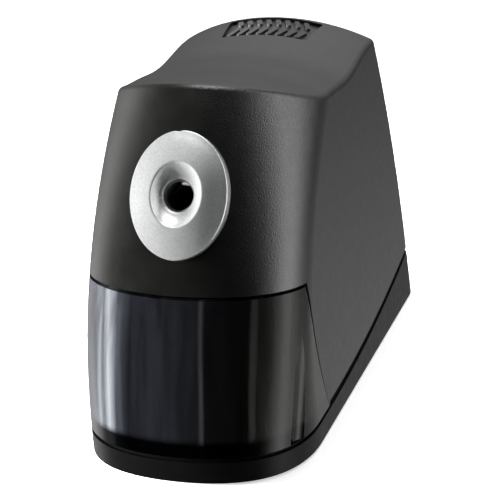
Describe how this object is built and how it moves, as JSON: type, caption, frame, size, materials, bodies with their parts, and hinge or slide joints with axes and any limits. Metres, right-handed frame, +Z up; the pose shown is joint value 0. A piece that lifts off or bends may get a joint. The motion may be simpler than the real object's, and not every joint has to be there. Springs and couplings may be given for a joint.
{
  "type": "electric pencil sharpener",
  "caption": "Wedge-shaped electric desk pencil sharpener with an oval ring round the pencil hole and a smoke-tinted tray that slides out of the front.",
  "frame": {"origin": "on the table under the middle of the whole object", "axes": "+X to the right seen from the front, +Y towards the back, +Z up; the pencil hole faces -Y"},
  "size_m": [0.07, 0.2128, 0.1211],
  "materials": {
    "housing_abs": "fine texture, satin",
    "base_abs": "satin",
    "satin_silver": "satin silver",
    "smoke_plastic": "glossy smoke tint",
    "magnet_steel": "plated",
    "rubber": "matte",
    "zinc_steel": "zinc plated",
    "black_acetal": "smooth",
    "white_acetal": "smooth",
    "tool_steel": "ground",
    "cast_zinc": "as cast",
    "bronze": "sintered",
    "lamination_steel": "stacked sheets",
    "enamelled_copper": "enamelled wire",
    "badge_abs": "satin"
  },
  "bodies": {
    "body": {"upper_housing": "housing_abs", "base_pan": "base_abs", "bezel": "satin_silver", "rubber_feet": "rubber", "base_screws": "zinc_steel", "cord_inlet": "rubber", "pencil_guide": "black_acetal", "front_plate": "zinc_steel", "middle_plate": "zinc_steel", "motor_plate": "zinc_steel", "rear_bracket": "zinc_steel", "frame_posts": "zinc_steel", "frame_screws": "zinc_steel", "ring_gear": "white_acetal", "carrier_bush": "bronze", "idler_axle": "tool_steel", "motor_bushes": "bronze", "stator_core": "lamination_steel", "coil_bobbins": "white_acetal", "coil_windings": "enamelled_copper", "motor_bolts": "zinc_steel", "motor_mounts": "rubber", "lever_pin": "tool_steel", "micro_switch": "black_acetal", "reed_switch": "black_acetal", "terminal_block": "white_acetal", "roof_badge": "badge_abs"},
    "tray": {"shavings_tray": "smoke_plastic", "tray_magnet": "magnet_steel"},
    "carrier": {"cutter_carrier": "cast_zinc", "carrier_gear": "white_acetal", "cutter_axle": "tool_steel"},
    "cutter": {"helical_cutter": "tool_steel"},
    "idler": {"compound_idler": "white_acetal"},
    "motor_rotor": {"rotor": "lamination_steel", "motor_shaft": "tool_steel", "motor_pinion": "bronze", "cooling_fan": "black_acetal"},
    "pencil_lever": {"switch_lever": "white_acetal"}
  },
  "joints": [
    {"name": "tray_slide", "type": "slide", "parent": "body", "child": "tray", "axis": [0, -1, 0], "range_m": [0, 0.058]},
    {"name": "motor_spin", "type": "hinge", "parent": "body", "child": "motor_rotor", "pos_m": [0, -0.01458, 0.04369], "axis": [0, 0.9511, -0.309], "continuous": true},
    {"name": "carrier_spin", "type": "hinge", "parent": "body", "child": "carrier", "pos_m": [0, -0.05357, 0.06929], "axis": [0, 0.9511, -0.309], "continuous": true},
    {"name": "cutter_spin", "type": "hinge", "parent": "carrier", "child": "cutter", "pos_m": [0, -0.08075, 0.06656], "axis": [0, 0.9903, -0.1392], "continuous": true},
    {"name": "idler_spin", "type": "hinge", "parent": "body", "child": "idler", "pos_m": [0.014, -0.03734, 0.04483], "axis": [0, 0.9511, -0.309], "continuous": true},
    {"name": "pencil_lever_tilt", "type": "hinge", "parent": "body", "child": "pencil_lever", "pos_m": [0, -0.08194, 0.09008], "axis": [-1, 0, 0], "range_deg": [0, 8], "stiffness_Nm_per_rad": 0.02, "springref_deg": -2.86}
  ],
  "couplings": [
    {"joint": "carrier_spin", "follows": "motor_spin", "ratio": 0.099206},
    {"joint": "idler_spin", "follows": "motor_spin", "ratio": -0.35714},
    {"joint": "cutter_spin", "follows": "motor_spin", "ratio": -0.31746}
  ]
}
